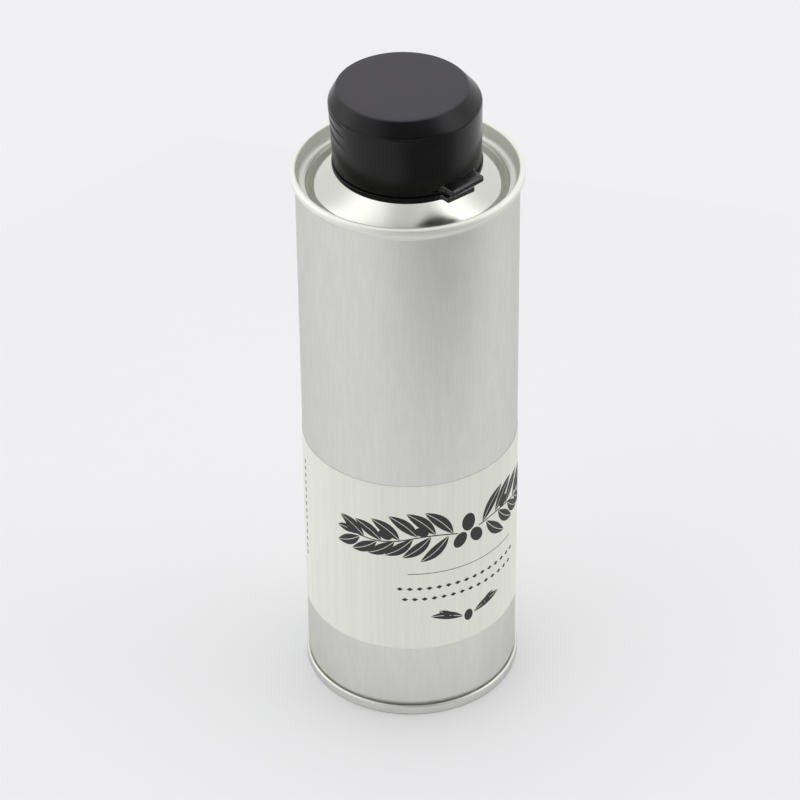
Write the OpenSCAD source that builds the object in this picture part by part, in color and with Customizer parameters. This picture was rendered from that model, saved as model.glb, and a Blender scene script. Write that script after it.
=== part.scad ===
// Round olive oil tin with double seams, a cone top and a push-fit flip-top pourer.
// The tin stands on its bottom seam at z = 0. The thumb tab of the lid points to -Y,
// its hinge lies at the back, towards +Y. All sizes are in millimetres.

/* [Tin body] */
// Outside diameter of the rolled body
body_d = 52; // [46:0.5:60]
// Height from the floor to the top of the upper seam
tin_h = 143.5; // [110:0.1:170]
// Thickness of the tinplate
sheet = 0.24; // [0.2:0.01:0.28]
// How far the body is drawn in above the bottom seam
neck_in = 0.37; // [0.25:0.01:0.5]
// How far the body flares out below the top seam
flare = 0.32; // [0.25:0.01:0.5]
// Height over which the body draws in or flares
form_h = 1.2; // [0.9:0.1:2.5]
// Width of the welded side seam
weld_w = 1.2; // [0.8:0.1:2]
// How far the weld stands proud of the body
weld_t = 0.06; // [0.04:0.01:0.1]
// Direction in which the weld lies, seen from above
weld_az = 78; // [40:1:140]

/* [Double seams] */
// Height of the bottom seam
seam_h = 2.9; // [2.6:0.05:3.2]
// Height of the top seam
top_seam_h = 1.9; // [1.8:0.05:2.8]
// Clearance between the folded layers
seam_gap = 0.05; // [0.03:0.01:0.07]
// Clearance between the end of a hook and the bend it faces
hook_gap = 0.15; // [0.1:0.01:0.25]
// Corner radius of the seam crown
crown_r = 0.35; // [0.25:0.01:0.4]
// Radius of the shoulder that rounds the top seam on its outside
shoulder_r = 0.9; // [0.4:0.05:0.95]
// Room for sealing compound under the crown
compound_t = 0.3; // [0.14:0.01:0.34]
// Width of the bead of sealing compound
compound_w = 0.44; // [0.3:0.01:0.5]

/* [Bottom end] */
// Height of the panel above the floor
panel_z = 3.9; // [3.4:0.1:5]
// How far the wall round the panel leans in
panel_lean = 0.15; // [0.05:0.05:0.4]
// Corner radius round the panel
panel_r = 0.6; // [0.4:0.1:0.9]
// Number of expansion beads
bead_n = 2; // [1:1:3]
// Distance from the wall round the panel to the middle of the outer bead
bead_in = 4.67; // [4:0.01:6]
// Distance from bead to bead
bead_step = 5.6; // [4.6:0.2:6]
// Width of a bead at its foot
bead_w = 3.2; // [2.8:0.1:3.6]
// Depth of a bead
bead_t = 0.7; // [0.4:0.1:1]
// Corner radius of a bead
bead_r = 0.5; // [0.3:0.05:0.6]

/* [Top end] */
// Depth of the channel below the crown of the seam
chuck_depth = 3.9; // [3:0.1:4.4]
// How far the wall inside the seam leans in
chuck_lean = 0.5; // [0.3:0.05:0.7]
// Corner radius at the foot of that wall
chuck_r = 1.4; // [0.4:0.1:1.6]
// Width of the channel between that wall and the step of the cone
channel_w = 1.81; // [1.4:0.01:2.6]
// Width of the step from the channel up to the cone
step_w = 1; // [0.7:0.1:1.3]
// Height of that step
step_h = 1.3; // [0.9:0.1:1.6]
// Corner radius of the step
step_r = 0.35; // [0.2:0.05:0.5]
// Slope of the cone in degrees
cone_a = 33.4; // [31:0.2:35]
// Outside diameter of the neck
neck_d = 25.44; // [24:0.2:26]
// Radius of the blend from cone to neck
neck_r = 1.2; // [0.8:0.1:1.6]
// Height of the neck from the cone to the top of its curl
neck_h = 2.73; // [2.6:0.01:4]
// Width of the rolled curl on the neck
curl_d = 1.94; // [1.6:0.02:2.1]
// How far the curl is rolled round, in degrees
curl_turn = 290; // [250:5:300]

/* [Label] */
// Height of its lower edge above the floor
label_z = 21; // [8:0.5:40]
// Height of the label
label_h = 49.6; // [30:0.2:64]
// Bare strip between the two ends of the label
label_gap = 16.4; // [8:0.1:44]
// Thickness of the paper
label_t = 0.12; // [0.08:0.01:0.2]
// Thickness of the glue behind it
glue_t = 0.02; // [0.01:0.01:0.03]
// Direction that the middle of the label faces
label_az = 258; // [250:1:266]

/* [Collar of the closure] */
// How far the flange round the foot of the collar stands out beyond the lid
flange_out = 0.3; // [0.1:0.05:0.8]
// Height of the edge of the flange
flange_h = 1.25; // [1:0.05:1.6]
// Gap between the collar and the cone
seat_gap = 0.15; // [0.1:0.01:0.25]
// Clearance round the curl
curl_fit = 0.13; // [0.1:0.01:0.2]
// Wall of the collar at its foot
sleeve_t = 1.2; // [1:0.05:1.3]
// Draft of the outside of the collar
sleeve_draft = 0.4; // [0.35:0.05:0.6]
// Thickness of the deck
deck_t = 1.1; // [0.9:0.05:1.2]
// Corner radius round the deck
deck_r = 1.3; // [1.2:0.05:1.6]
// How far the snap bead reaches under the curl
snap_t = 0.8; // [0.6:0.05:0.9]
// Height of the snap bead
snap_h = 1.2; // [0.9:0.05:1.4]
// Gap between snap bead and curl
snap_gap = 0.12; // [0.08:0.01:0.2]
// Height of the middle of the ridge that holds the lid, above the flange
ridge_at = 1.3; // [1:0.05:2]
// Height of that ridge
ridge_h = 0.7; // [0.5:0.05:0.9]
// How far the ridge stands out
ridge_t = 0.12; // [0.08:0.01:0.14]

/* [Pourer] */
// Clearance between the pourer and the neck, and below its rim
pour_fit = 0.1; // [0.06:0.01:0.14]
// Depth to which it plugs into the neck
pour_plug_h = 4.2; // [3:0.1:5]
// Wall of the part that plugs into the neck
pour_t = 0.8; // [0.6:0.05:1]
// Thickness of its rim
pour_rim_t = 0.6; // [0.5:0.05:0.8]
// How far its rim overlaps the neck
pour_rim_w = 1.5; // [1.1:0.1:1.6]
// Height of the spout above the rim
spout_h = 8.4; // [7.8:0.1:8.8]
// Bore of the spout at its foot
bore_d = 14.6; // [13:0.1:16]
// Wall of the spout at its foot
spout_t = 1.6; // [1.2:0.1:2]
// How far the bore narrows on each side up to the throat
throat_in = 1.1; // [0.9:0.1:1.4]
// How far the mouth flares out on each side from the throat
mouth_out = 2; // [1.7:0.1:2.3]
// Depth of the mouth above the throat
mouth_h = 1.8; // [1.7:0.05:1.9]
// Width of the drip lip round the mouth
drip_w = 0.8; // [0.7:0.05:0.9]
// Wall of the spout below its lip
waist_t = 1; // [0.8:0.05:1.2]
// Radius of the blend from the waist to the lip
waist_r = 1.5; // [0.8:0.1:1.8]
// Radius of the edge of the throat
throat_r = 1; // [0.6:0.1:1.2]
// Gap between the spout and the hole in the deck
deck_gap = 0.2; // [0.15:0.01:0.4]

/* [Tear-out seal] */
// Thickness of the seal
seal_t = 0.5; // [0.3:0.05:0.7]
// Width of the score line round the seal
score_w = 0.12; // [0.1:0.01:0.2]
// Diameter of the pull ring at the middle of its wire
ring_d = 8.4; // [7.6:0.2:9]
// Thickness of the pull ring
ring_t = 1.3; // [1:0.1:1.5]
// Height of the pull ring above the seal
ring_h = 4.4; // [3.6:0.1:4.8]

/* [Lid] */
// Height of the lid
lid_h = 18.4; // [18:0.1:20]
// Gap at the parting line between lid and collar
part_gap = 0.2; // [0.15:0.01:0.3]
// Gap between the collar and the foot of the lid
lid_fit = 0.3; // [0.2:0.05:0.6]
// How far the wall flares out on each side up to the bevel
lid_flare = 0.5; // [0.2:0.05:0.8]
// How far the wall leans back by the height where the bevel starts
lid_lean = 0.6; // [0.4:0.05:0.7]
// Wall thickness of the lid
lid_t = 1.1; // [1:0.05:1.15]
// Thickness of its top
lid_top_t = 1.2; // [1:0.05:1.4]
// Height of the bevel
bevel_h = 3.1; // [2.6:0.1:3.4]
// Width of the bevel on each side
bevel_w = 2.45; // [2:0.05:3.2]
// How far the flat top is set back towards the hinge
top_shift = 1.5; // [1:0.1:1.6]
// Number of grooves round the back
groove_n = 3; // [0:1:3]
// Distance of the upper groove below the bevel
groove_at = 0.9; // [0.8:0.1:1.4]
// Distance from groove to groove in the middle of the back
groove_step = 1.5; // [1.4:0.05:2.2]
// Width of a groove in the middle of the back
groove_w = 1.3; // [1:0.05:1.5]
// Depth of a groove in the middle of the back
groove_t = 0.66; // [0.4:0.02:0.7]
// Slant that each groove has more than the one above it, in degrees
groove_slant = 3; // [0:0.5:4]
// Share of its set-back by which a groove's ring is wider than the lid, so that it fades out early
groove_fade = 0.156; // [0:0.01:0.3]
// Clearance between plug and mouth, measured upwards
plug_gap = 0.16; // [0.14:0.01:0.2]
// Wall of the plug
plug_t = 1.1; // [0.9:0.05:1.2]
// How far the plug lies inside the edge of the mouth
plug_in = 0.3; // [0.2:0.05:0.5]
// How much wider than the throat the tip of the plug is
plug_tip = 0.1; // [0.05:0.05:0.3]
// Corner radius at the tip of the plug
plug_edge = 0.2; // [0.1:0.05:0.3]

/* [Thumb tab] */
// How far the tab stands out from the foot of the lid
tab_out = 2.75; // [2.4:0.05:3.4]
// Width of the tab
tab_w = 8.8; // [7:0.2:10]
// Thickness of the tab at its nose
tab_t = 0.9; // [0.7:0.05:1.1]
// Rise of its upper face towards the wall
tab_rise = 0.4; // [0.2:0.05:0.6]
// Radius of the blend from tab to wall
tab_r = 2; // [1.4:0.1:2.4]
// Height of the lip under the tab
lip_h = 0.6; // [0.5:0.05:0.8]
// How much wider than the tab the lip is, on each side
lip_side = 0.9; // [0.5:0.1:1.2]
// How far the lip stands out from the foot of the lid
lip_out = 2.7; // [2.4:0.05:3.4]
// Height of the slot between lip and tab
slot_h = 0.35; // [0.3:0.05:0.5]
// How far the middle of the tab stands back in that slot
neck_set = 0.8; // [0.6:0.05:1]
// How far the slot runs on to each side of the lip, in degrees
slot_turn = 26; // [22:1:32]
// Depth of the slot in the wall
slot_t = 0.35; // [0.2:0.05:0.45]
// Width of the ledge on the flange
ledge_w = 7.9; // [6:0.1:9]
// How far the ledge stands out from the flange
ledge_out = 1.85; // [1.3:0.05:2.4]
// How far the ledge reaches below the edge of the flange
ledge_drop = 0.1; // [0.05:0.05:0.4]
// How far round from the tab the ledge sits, in degrees
ledge_turn = 4.7; // [-6:0.1:6]

/* [Hinge] */
// Distance of the hinge axis behind the flange
hinge_out = 0.3; // [0.25:0.05:0.5]
// Thickness of the film hinge
web_t = 0.9; // [0.8:0.05:1]
// Width of each film
web_w = 4.6; // [3.6:0.1:5]
// Distance between the two films
web_space = 3.6; // [3:0.1:4.4]
// Clearance round the film
web_gap = 0.06; // [0.05:0.01:0.1]
// Margin of the hinge lands beyond the films
land_side = 0.9; // [0.6:0.1:1.2]
// Height of the hinge land on the lid
land_h = 3; // [2.4:0.1:4]

/* [Edges of the closure] */
// Radius of the edges of the bevel
edge_r = 0.4; // [0.2:0.05:0.6]
// Radius of the corners of tab, lip and ledge
tongue_r = 0.3; // [0.15:0.05:0.4]

/* [Hidden] */
$fn = 96;
steps = 6; // segments in a rounded corner
eps = 0.01; // overlap of pieces of one solid
tin_c = "#c3c5c0";
paper_c = "#e4e5dc";
black_c = "#1d1c20";
natural_c = "#e8ebe6";
compound_c = "#8c8d80";

// Seams: the layers lie one pitch apart, from chuck wall (-1) to the outer wall (3)
pitch = sheet + seam_gap;
body_r = body_d / 2;
low_r = body_r - neck_in - sheet / 2;
high_r = body_r + flare - sheet / 2;
bend_s = 1.5 * sheet + compound_t + pitch;
lead_h = 0.1; // straight stretch between seam and shoulder
form_r = 2; // radius of the shoulders of the body
round_r = min(shoulder_r, 3.2 * pitch);

// Top end
chuck_in = high_r - pitch - chuck_lean;
cone_r = chuck_in - channel_w - step_w;
floor_z = tin_h - chuck_depth - sheet / 2;
foot_r = min(chuck_r, channel_w - step_r);
cone_z = floor_z + step_h;
neck_c = neck_d / 2 - sheet / 2;
neck_z = cone_z + (cone_r - neck_c) * tan(cone_a);
neck_top = neck_z + neck_h;
curl_r = (curl_d - sheet) / 2;
curl_z = neck_top - curl_d / 2;
curl_out = neck_c + 2 * curl_r + sheet / 2;
neck_in_r = neck_c - sheet / 2;

// Closure
sleeve_in = curl_out + curl_fit;
sleeve_r = sleeve_in + sleeve_t;
lid_in = sleeve_r + lid_fit;
lid_r = lid_in + lid_t;
flange_r = lid_r + flange_out;
flange_z = cone_at(flange_r) + seat_gap;
part_z = flange_z + flange_h;
rim_z = neck_top + pour_fit / 2;
deck_low = rim_z + pour_rim_t + pour_fit / 2;
deck_z = deck_low + deck_t;
bore_r = bore_d / 2;
spout_r = bore_r + spout_t;
hole_r = spout_r + deck_gap;
curl_low = curl_z - curl_d / 2;
ridge_z = part_z + ridge_at;

// Pourer
plug_r = neck_in_r - pour_fit;
throat_at = bore_r - throat_in;
mouth_r = throat_at + mouth_out;
drip_r = mouth_r + drip_w;
web_z = rim_z + pour_rim_t - pour_t;
spout_z = rim_z + pour_rim_t + spout_h;
throat_z = spout_z - mouth_h;
drip_edge = 0.3; // edge of the drip lip, and blend at the foot of the spout

// Lid
lid_z = part_z + part_gap;
lid_top = lid_z + lid_h;
wall_z = lid_top - bevel_h;
wall_h = wall_z - lid_z;
lean_a = atan(lid_lean / wall_h);
flare_s = lid_flare / wall_h; // slope by which the wall of the lid widens
lid_top_r = lid_r + lid_flare;
top_r = lid_top_r - bevel_w;
ceiling_z = lid_top - lid_top_t;
hinge_y = flange_r + hinge_out;
hinge_z = part_z + part_gap / 2;
mouth_slope = mouth_h / mouth_out;
tab_reach = lid_r + tab_out;
tab_z = lid_z + lip_h + slot_h;
land_w = web_space + 2 * (web_w + land_side);
spare_h = 2; // overlength of a form that is cut to size afterwards
blend_w = 0.8; // width of the blend at the root of a tongue, in blend radii
root_t = 0.3; // how deep a tongue is rooted in its wall

// Height of the upper surface of the cone at the radius r
function cone_at(r) = cone_z + (cone_r - r) * tan(cone_a) + sheet / 2 / cos(cone_a);

function unit(v) = v / norm(v);
function flat2(p) = [p[0], p[1]];
// Points of an arc of radius r about c, from the angle a0 to a1
function arc(c, r, a0, a1, n = steps) =
    [for (i = [0:n]) let (a = a0 + (a1 - a0) * i / n) c + r * [cos(a), sin(a)]];
// Smallest signed turn from the angle a to the angle b
function turn(a, b) = let (d = b - a) d > 180 ? d - 360 : d < -180 ? d + 360 : d;
// Arc of radius r that rounds the corner b between a and c
function corner(a, b, c, r) =
    let (u = unit(a - b), v = unit(c - b), half = acos(u * v) / 2)
    let (m = b + unit(u + v) * r / sin(half), p = b + u * r / tan(half), q = b + v * r / tan(half))
    let (a0 = atan2(p[1] - m[1], p[0] - m[0]), a1 = atan2(q[1] - m[1], q[0] - m[0]))
    arc(m, r, a0, a0 + turn(a0, a1));
// Points closer than 1 micrometre to the one before are left out
function spaced(p) = [for (i = [0:len(p) - 1]) if (i == 0 || norm(p[i] - p[max(i - 1, 0)]) > 0.001) p[i]];
// Open line through [x, y, corner radius] points, with its corners rounded
function line(p) = let (n = len(p))
    spaced([for (i = [0:n - 1]) each i == 0 || i == n - 1 || p[i][2] == 0 ? [flat2(p[i])]
        : corner(flat2(p[i - 1]), flat2(p[i]), flat2(p[i + 1]), p[i][2])]);
// Closed outline through [x, y, corner radius] points
function ring(p) = let (n = len(p))
    spaced([for (i = [0:n - 1]) each p[i][2] == 0 ? [flat2(p[i])]
        : corner(flat2(p[(i + n - 1) % n]), flat2(p[i]), flat2(p[(i + 1) % n]), p[i][2])]);
// Mitred normal of the line p at its point i
function normal(p, i) =
    let (n = len(p) - 1)
    let (d = unit(p[min(i + 1, n)] - p[min(i, n - 1)]), e = unit(p[max(i, 1)] - p[max(i - 1, 0)]))
    let (m = unit(d + e)) [-m[1], m[0]] / (m * d);
// Outline of a sheet of thickness t along the line p
function sheet_along(p, t) = let (n = len(p) - 1)
    concat([for (i = [0:n]) p[i] + normal(p, i) * t / 2], [for (i = [n:-1:0]) p[i] - normal(p, i) * t / 2]);

// Cover hook, outer wall and crown of a double seam, from z0 towards the middle of the tin.
// r is the middle of the body wall, dir is 1 at the bottom and -1 at the top, h is the height
// of the seam and out_r rounds its crown on the outside.
function cover(r, z0, dir, h, out_r) = [
    [r + pitch, z0 + dir * (bend_s + hook_gap), 0],
    [r + pitch, z0 + dir * (h - sheet / 2), pitch],
    [r + 3 * pitch, z0 + dir * (h - sheet / 2), pitch],
    [r + 3 * pitch, z0 + dir * sheet / 2, out_r],
    [r - pitch, z0 + dir * sheet / 2, min(crown_r, 4 * pitch - out_r)]
];
// How far the underside of that crown lies from z0 at the radius x
function under_crown(r, x, out_r) = let (s = out_r - sheet / 2 - eps, d = max(0, x - r - 3 * pitch + out_r))
    out_r + sheet / 2 - sqrt(s * s - d * d);
// Body hook of the same seam, from the body wall round to the end of the hook
function body_hook(r, z0, dir, h) = [
    [r, z0 + dir * (bend_s - pitch), pitch],
    [r + 2 * pitch, z0 + dir * (bend_s - pitch), pitch],
    [r + 2 * pitch, z0 + dir * (h - sheet / 2 - pitch - hook_gap), 0]
];
function flip(p) = [for (i = [len(p) - 1:-1:0]) p[i]];

module revolve_sheet(p) {
    rotate_extrude() polygon(sheet_along(p, sheet));
}

module can_body() {
    wall = body_r - sheet / 2;
    low = seam_h + lead_h;
    high = tin_h - top_seam_h - lead_h;
    color(tin_c) {
        revolve_sheet(line(concat(
            flip(body_hook(low_r, 0, 1, seam_h)),
            [[low_r, low, form_r], [wall, low + form_h, form_r]],
            [[wall, high - form_h, form_r], [high_r, high, form_r]],
            body_hook(high_r, tin_h, -1, top_seam_h))));
        weld_turn = weld_w / body_r * 180 / PI;
        weld_low = low + form_h + weld_w;
        weld_h = high - form_h - weld_w - weld_low;
        rotate([0, 0, weld_az - weld_turn / 2]) rotate_extrude(angle = weld_turn)
            translate([wall, weld_low]) square([sheet / 2 + weld_t, weld_h]);
    }
}

module bottom_end() {
    wall_r = low_r - pitch - panel_lean;
    z = panel_z + sheet / 2;
    beads = [for (i = [0:bead_n - 1]) let (r = wall_r - bead_in - i * bead_step) each [
        [r + bead_w / 2, z, bead_r], [r + bead_w / 2 - bead_t, z - bead_t, bead_r],
        [r - bead_w / 2 + bead_t, z - bead_t, bead_r], [r - bead_w / 2, z, bead_r]]];
    color(tin_c)
        revolve_sheet(line(concat(cover(low_r, 0, 1, seam_h, crown_r), [[wall_r, z, panel_r]], beads,
            [[0, z, 0]])));
}

module top_end() {
    shell = line(concat(cover(high_r, tin_h, -1, top_seam_h, round_r), [
        [chuck_in, floor_z, foot_r], [cone_r + step_w, floor_z, step_r],
        [cone_r, cone_z, step_r], [neck_c, neck_z, neck_r], [neck_c, curl_z, 0]]));
    curl = arc([neck_c + curl_r, curl_z], curl_r, 180, 180 - curl_turn, 4 * steps);
    color(tin_c) revolve_sheet(spaced(concat(shell, curl)));
}

// Ring of compound between the body bend and the crown of a seam
module compound(r, z0, dir, out_r) {
    bend_r = pitch + sheet / 2 + eps;
    half = asin(compound_w / 2 / bend_r);
    low = [for (p = arc([r + pitch, 0], bend_r, 90 - half, 90 + half)) [p[0], z0 + dir * (bend_s - p[1])]];
    top = [for (p = flip(low)) [p[0], z0 + dir * under_crown(r, p[0], out_r)]];
    color(compound_c) rotate_extrude() polygon(concat(top, low));
}

module bottom_seam_compound() {
    compound(low_r, 0, 1, crown_r);
}

module top_seam_compound() {
    compound(high_r, tin_h, -1, round_r);
}

module label() {
    turn_a = 360 - label_gap / body_r * 180 / PI;
    color(paper_c) rotate([0, 0, label_az - turn_a / 2]) rotate_extrude(angle = turn_a)
        translate([body_r + glue_t, label_z]) square([label_t, label_h]);
}

// Outline of a tongue that points to -Y from a wall of radius wall_r, with blends of radius r
module tongue(w, reach, r, wall_r) {
    foot = w / 2 + blend_w * r;
    foot_y = sqrt(wall_r * wall_r - foot * foot) - root_t;
    side_y = foot_y + r;
    polygon(ring([[-foot, -foot_y, 0], [-w / 2, -side_y, r], [-w / 2, -reach, tongue_r],
        [w / 2, -reach, tongue_r], [w / 2, -side_y, r], [foot, -foot_y, 0]]));
}

// Block that carries the film hinge, from the height z to z + h, rooted in the wall of the lid
// or in the flange below it
module hinge_land(z, h) {
    inner = lid_r - lid_t / 2;
    translate([-land_w / 2, inner, z]) cube([land_w, hinge_y - inner, h]);
}

// Cutter that leaves room for the film in a hinge land
module film_room() {
    translate([-land_w / 2 - eps, hinge_y, hinge_z]) rotate([0, 90, 0])
        cylinder(d = web_t + 2 * web_gap, h = land_w + 2 * eps);
}

// Cutter that leaves the cone of the tin free under the collar, with the seat gap
module cone_room() {
    top_r = sleeve_in - snap_t;
    top_z = cone_at(top_r) + seat_gap;
    low_z = flange_z - 2 * spare_h;
    low_r = flange_r + 2 * spare_h / tan(cone_a);
    rotate_extrude() polygon([[0, low_z], [low_r, low_z], [top_r, top_z], [0, top_z]]);
}

module closure_base() {
    snap_z = curl_low - snap_gap;
    foot_z = flange_z - spare_h;
    ridge_r = sleeve_r - sleeve_draft * (ridge_z - part_z) / (deck_z - part_z);
    color(black_c) difference() {
        union() {
            rotate_extrude() polygon(ring([
                [flange_r, foot_z, 0], [flange_r, part_z, 0], [sleeve_r, part_z, 0],
                [ridge_r, ridge_z - ridge_h / 2, 0], [ridge_r + ridge_t, ridge_z, 0],
                [ridge_r, ridge_z + ridge_h / 2, 0],
                [sleeve_r - sleeve_draft, deck_z, deck_r], [hole_r, deck_z, 0], [hole_r, deck_low, 0],
                [sleeve_in, deck_low, 0], [sleeve_in, snap_z, 0],
                [sleeve_in - snap_t, snap_z - snap_h / 2, snap_t / 4], [sleeve_in, snap_z - snap_h, 0],
                [sleeve_in, foot_z, 0]]));
            rotate([0, 0, -ledge_turn]) translate([0, 0, flange_z - ledge_drop])
                linear_extrude(flange_h + ledge_drop)
                    tongue(ledge_w, flange_r + ledge_out, tab_r / 2, flange_r);
            hinge_land(foot_z, part_z - foot_z);
        }
        cone_room();
        film_room();
    }
}

module pour_spout() {
    low = neck_top - pour_plug_h;
    rim_r = neck_in_r + pour_rim_w;
    foot_z = rim_z + pour_rim_t;
    color(natural_c) rotate_extrude() polygon(ring([
        [plug_r, low, pour_t / 3], [plug_r, rim_z, 0], [rim_r, rim_z, 0], [rim_r, foot_z, pour_rim_t / 3],
        [spout_r, foot_z, drip_edge], [throat_at + waist_t, throat_z, waist_r],
        [drip_r, spout_z - drip_edge, drip_edge / 3], [drip_r - drip_edge, spout_z, drip_edge / 3],
        [mouth_r, spout_z, 0], [throat_at, throat_z, throat_r], [bore_r, web_z, 0],
        [plug_r - pour_t, web_z, pour_t / 2], [plug_r - pour_t, low, pour_t / 3]]));
}

module pull_seal() {
    ring_z = web_z + seal_t + ring_h;
    color(natural_c) union() {
        translate([0, 0, web_z])
            cylinder(r1 = bore_r - score_w, r2 = bore_r - 2 * score_w, h = seal_t);
        translate([0, 0, ring_z]) rotate_extrude() translate([ring_d / 2, 0]) circle(d = ring_t);
        translate([0, ring_d / 2, web_z + seal_t / 2]) cylinder(d = ring_t, h = ring_h + seal_t / 2);
    }
}

module hinge_web() {
    color(black_c) for (side = [-1, 1]) translate([side * (web_space + web_w) / 2, hinge_y, hinge_z])
        rotate([0, 90, 0]) cylinder(d = web_t, h = web_w, center = true);
}

// Leaning wall of the lid, drawn in by t, cut level at low and high
module lid_wall(t, low, high) {
    size = 4 * lid_top_r;
    foot_r = lid_r - t;
    intersection() {
        translate([0, 0, lid_z]) rotate([-lean_a, 0, 0]) translate([0, 0, -spare_h])
            cylinder(r1 = foot_r - flare_s * spare_h, r2 = foot_r + flare_s * (wall_h + spare_h),
                h = wall_h + 2 * spare_h);
        translate([-size / 2, -size / 2, low]) cube([size, size, high - low]);
    }
}

// Bevelled crown of the lid, with its flat top set back and both its edges softened
module lid_crown() {
    back = (top_shift - lid_lean) * edge_r / bevel_h;
    hull() {
        translate([0, lid_lean, wall_z - eps]) cylinder(r = lid_top_r - 2 * eps, h = 2 * eps);
        translate([0, lid_lean + back, wall_z + edge_r]) cylinder(r = lid_top_r - edge_r / 2, h = eps);
        translate([0, top_shift, lid_top - edge_r / 2]) cylinder(r = top_r + edge_r / 2, h = eps);
        translate([0, top_shift, lid_top - eps]) cylinder(r = top_r, h = eps);
    }
}

// Hollow under the crown, one wall thickness inside the bevel
module crown_hollow() {
    bevel_a = atan(bevel_w / bevel_h);
    h = ceiling_z - wall_z;
    low_r = lid_top_r - lid_t / cos(bevel_a);
    back = (top_shift - lid_lean) * h / bevel_h / 2;
    translate([0, lid_lean + back, wall_z - eps])
        cylinder(r1 = low_r, r2 = low_r - h * tan(bevel_a), h = h + eps);
}

// Ring-shaped cutter, hung from its deepest point in the middle of the back and fading out
// towards the sides
module groove(i) {
    z = wall_z - groove_at - i * groove_step;
    wall_r = lid_r + flare_s * (z - lid_z);
    wall_y = lid_lean * (z - lid_z) / wall_h + wall_r;
    ring_r = wall_r + groove_fade * groove_t / (1 - groove_fade);
    translate([0, wall_y - groove_t, z]) rotate([i * groove_slant, 0, 0]) translate([0, -ring_r, 0])
        rotate_extrude() translate([ring_r, 0])
            polygon([[0, 0], [2 * groove_t, -groove_w], [2 * groove_t, groove_w]]);
}

// Plug ring under the top, whose cone follows the slope of the mouth
module plug() {
    out = mouth_r - plug_in;
    tip = throat_at + plug_tip;
    z_out = spout_z - mouth_slope * plug_in + plug_gap;
    z_tip = spout_z - mouth_slope * (mouth_r - tip) + plug_gap;
    rotate_extrude() polygon(ring([
        [out, ceiling_z + eps, 0], [out, z_out, 0],
        [tip, z_tip, plug_edge], [tip - plug_t, z_tip, plug_edge],
        [out - plug_t, z_out + plug_t / 2, plug_t / 2], [out - plug_t, ceiling_z + eps, 0]]));
}

// Tab with a rounded nose over a thin lip, with a slot between them
module tab() {
    nose = tab_t / 2;
    back = tab_out + tab_r;
    translate([0, 0, lid_z]) linear_extrude(lip_h)
        tongue(tab_w + 2 * lip_side, lid_r + lip_out, tab_r, lid_r);
    translate([0, 0, lid_z + lip_h - eps]) linear_extrude(slot_h + 2 * eps)
        tongue(tab_w - tab_t, tab_reach - neck_set, tab_r, lid_r);
    difference() {
        translate([0, 0, tab_z]) linear_extrude(tab_t + tab_rise)
            tongue(tab_w, tab_reach - nose, tab_r, lid_r);
        translate([-lid_r, -tab_reach, tab_z + tab_t]) rotate([atan(tab_rise / back), 0, 0])
            cube([2 * lid_r, 2 * back, lid_h]);
    }
    translate([0, nose - tab_reach, tab_z + nose]) rotate([0, 90, 0])
        cylinder(r = nose, h = tab_w - tongue_r, center = true);
}

// Slot that runs on from the tab into the wall on both sides
module wall_slot() {
    translate([0, 0, lid_z + lip_h]) rotate([0, 0, 270 - slot_turn]) rotate_extrude(angle = 2 * slot_turn)
        translate([lid_r - slot_t, 0]) square([tab_out, slot_h]);
}

module closure_lid() {
    color(black_c) difference() {
        union() {
            difference() {
                union() {
                    lid_wall(0, lid_z, wall_z);
                    lid_crown();
                }
                for (i = [0:1:groove_n - 1]) groove(i);
                wall_slot();
            }
            tab();
            hinge_land(lid_z, land_h);
        }
        difference() {
            union() {
                lid_wall(lid_t, lid_z - spare_h / 2, wall_z);
                crown_hollow();
            }
            plug();
        }
        film_room();
    }
}

can_body();
bottom_end();
bottom_seam_compound();
top_end();
top_seam_compound();
label();
closure_base();
pour_spout();
pull_seal();
hinge_web();
closure_lid();
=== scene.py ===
import math

import bmesh
import bpy
import numpy as np
from mathutils import Matrix, Quaternion, Vector


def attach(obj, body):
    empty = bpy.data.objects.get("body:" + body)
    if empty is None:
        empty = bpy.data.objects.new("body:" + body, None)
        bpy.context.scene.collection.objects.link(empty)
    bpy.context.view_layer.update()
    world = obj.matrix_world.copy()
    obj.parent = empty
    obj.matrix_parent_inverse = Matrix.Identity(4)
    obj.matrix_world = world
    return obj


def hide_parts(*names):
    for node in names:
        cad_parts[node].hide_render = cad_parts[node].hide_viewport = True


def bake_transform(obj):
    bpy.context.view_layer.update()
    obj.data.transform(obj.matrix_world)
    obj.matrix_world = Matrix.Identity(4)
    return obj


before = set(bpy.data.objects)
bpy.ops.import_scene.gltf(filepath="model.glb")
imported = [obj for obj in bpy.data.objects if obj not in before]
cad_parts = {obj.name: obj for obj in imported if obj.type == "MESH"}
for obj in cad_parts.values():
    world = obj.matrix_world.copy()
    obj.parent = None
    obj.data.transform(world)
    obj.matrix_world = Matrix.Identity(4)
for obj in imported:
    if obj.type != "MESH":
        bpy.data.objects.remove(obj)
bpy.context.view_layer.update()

MM = 0.001
TAU = 2 * math.pi
AROUND = 288  # columns round the tin
CORNER = 8  # segments in a rounded corner

# Tin
SHEET = 0.24
SEAM_GAP = 0.05
HOOK_GAP = 0.15
COMPOUND_T = 0.3
CROWN_R = 0.35
SEAM_H = 2.6
TOP_SEAM_H = 1.9
SEAM_ROUND = 0.9  # shoulder of the top seam, on its outside
BODY_R = 26.0
TIN_H = 143.5
NECK_IN = 0.37
FLARE = 0.32
FORM_H = 1.2
FORM_R = 2.0
LEAD_H = 0.1
PITCH = SHEET + SEAM_GAP
LOW_R = BODY_R - NECK_IN - SHEET / 2
HIGH_R = BODY_R + FLARE - SHEET / 2
BEND_S = 1.5 * SHEET + COMPOUND_T + PITCH
WELD_AZ = 78.0
WELD_W = 1.2
WELD_T = 0.06

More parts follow.
